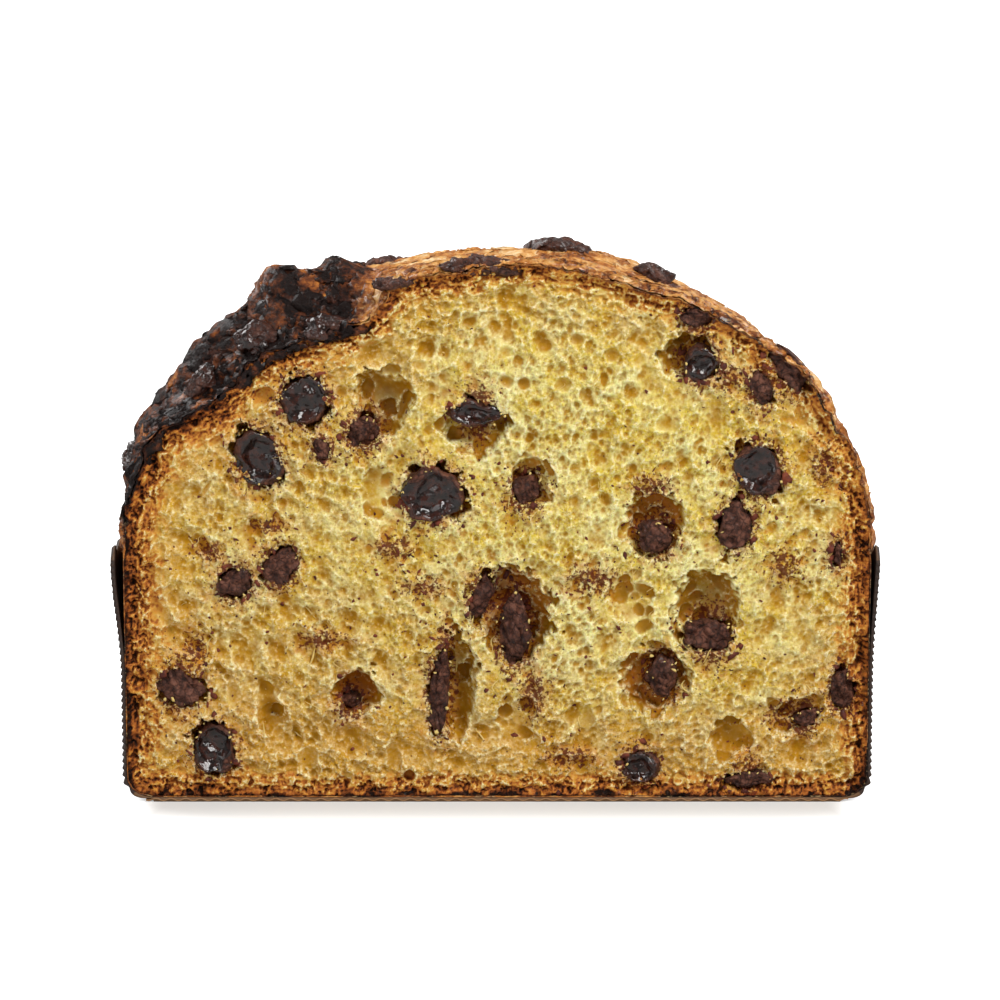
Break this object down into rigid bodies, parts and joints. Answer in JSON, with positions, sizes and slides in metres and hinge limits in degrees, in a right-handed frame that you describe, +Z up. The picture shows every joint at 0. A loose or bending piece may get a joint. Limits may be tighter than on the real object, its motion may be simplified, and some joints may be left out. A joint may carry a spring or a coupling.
{
  "type": "half panettone",
  "caption": "Half of a round domed chocolate panettone, cut face forward, with open yellow crumb, dark crust and its low brown paper case.",
  "frame": {"origin": "middle of the bounding box on the plane that the case stands on", "axes": "+X along the cut face to the viewer's right, +Y from the cut face to the rounded back, +Z up"},
  "size_m": [0.2084, 0.1052, 0.1512],
  "materials": {
    "crumb_and_crust": "soft open crumb, baked brown towards the crust",
    "case_paper": "fine fluted paper, matte outside",
    "chocolate": "dark chocolate, partly melted and glossy",
    "baked_chocolate": "dark chocolate, baked dull"
  },
  "bodies": {
    "root": {"loaf": "crumb_and_crust", "paper_case": "case_paper", "chocolate_face_1": "chocolate", "chocolate_face_2": "chocolate", "chocolate_face_3": "chocolate", "chocolate_face_4": "chocolate", "chocolate_face_5": "chocolate", "chocolate_face_6": "chocolate", "chocolate_face_7": "chocolate", "chocolate_face_8": "chocolate", "chocolate_face_9": "chocolate", "chocolate_face_10": "chocolate", "chocolate_face_11": "chocolate", "chocolate_face_12": "chocolate", "chocolate_face_13": "chocolate", "chocolate_face_14": "chocolate", "chocolate_face_15": "chocolate", "chocolate_face_16": "chocolate", "chocolate_face_17": "chocolate", "chocolate_face_18": "chocolate", "chocolate_face_19": "chocolate", "chocolate_face_20": "chocolate", "chocolate_face_21": "chocolate", "chocolate_face_22": "chocolate", "chocolate_face_23": "chocolate", "chocolate_face_24": "chocolate", "chocolate_face_25": "chocolate", "chocolate_face_26": "chocolate", "chocolate_face_27": "chocolate", "chocolate_face_28": "chocolate", "chocolate_face_29": "chocolate", "chocolate_crust_1": "baked_chocolate", "chocolate_crust_2": "baked_chocolate", "chocolate_crust_3": "baked_chocolate", "chocolate_crust_4": "baked_chocolate", "chocolate_crust_5": "baked_chocolate", "chocolate_crust_6": "baked_chocolate", "chocolate_crust_7": "baked_chocolate", "chocolate_crust_8": "baked_chocolate", "chocolate_crust_9": "baked_chocolate", "chocolate_crust_10": "baked_chocolate", "chocolate_crust_11": "baked_chocolate", "chocolate_crust_12": "baked_chocolate", "chocolate_crust_13": "baked_chocolate", "chocolate_crust_14": "baked_chocolate"}
  },
  "joints": []
}
